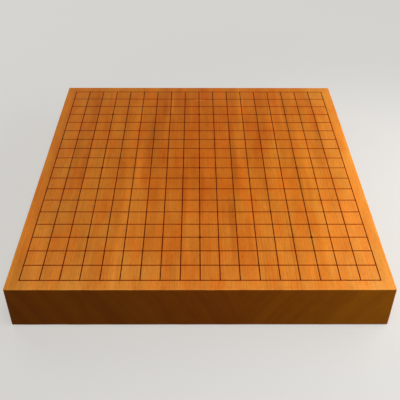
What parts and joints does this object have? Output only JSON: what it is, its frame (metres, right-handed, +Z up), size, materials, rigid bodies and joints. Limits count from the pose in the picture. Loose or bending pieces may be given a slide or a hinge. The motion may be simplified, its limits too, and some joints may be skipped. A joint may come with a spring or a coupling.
{
  "type": "go board",
  "caption": "Thick solid-wood go board for a table top: glued staves, raised lacquer grid lines and lacquer star points on a flat playing face.",
  "frame": {"origin": "middle of the flat underside, on the surface that the board lies on", "axes": "+X to the right of the near player, +Y away from the near player along the grain, +Z up out of the playing face"},
  "size_m": [0.425, 0.4556, 0.0573],
  "materials": {
    "wood": "honey-orange softwood, planed and lightly oiled or waxed to a satin sheen",
    "lacquer": "very dark brown lacquer, raised, half gloss"
  },
  "bodies": {
    "root": {"stave_1": "wood", "stave_2": "wood", "stave_3": "wood", "stave_4": "wood", "stave_5": "wood", "long_line_01": "lacquer", "long_line_02": "lacquer", "long_line_03": "lacquer", "long_line_04": "lacquer", "long_line_05": "lacquer", "long_line_06": "lacquer", "long_line_07": "lacquer", "long_line_08": "lacquer", "long_line_09": "lacquer", "long_line_10": "lacquer", "long_line_11": "lacquer", "long_line_12": "lacquer", "long_line_13": "lacquer", "long_line_14": "lacquer", "long_line_15": "lacquer", "long_line_16": "lacquer", "long_line_17": "lacquer", "long_line_18": "lacquer", "long_line_19": "lacquer", "cross_line_01": "lacquer", "cross_line_02": "lacquer", "cross_line_03": "lacquer", "cross_line_04": "lacquer", "cross_line_05": "lacquer", "cross_line_06": "lacquer", "cross_line_07": "lacquer", "cross_line_08": "lacquer", "cross_line_09": "lacquer", "cross_line_10": "lacquer", "cross_line_11": "lacquer", "cross_line_12": "lacquer", "cross_line_13": "lacquer", "cross_line_14": "lacquer", "cross_line_15": "lacquer", "cross_line_16": "lacquer", "cross_line_17": "lacquer", "cross_line_18": "lacquer", "cross_line_19": "lacquer", "star_point_1": "lacquer", "star_point_2": "lacquer", "star_point_3": "lacquer", "star_point_4": "lacquer", "star_point_5": "lacquer", "star_point_6": "lacquer", "star_point_7": "lacquer", "star_point_8": "lacquer", "star_point_9": "lacquer"}
  },
  "joints": []
}
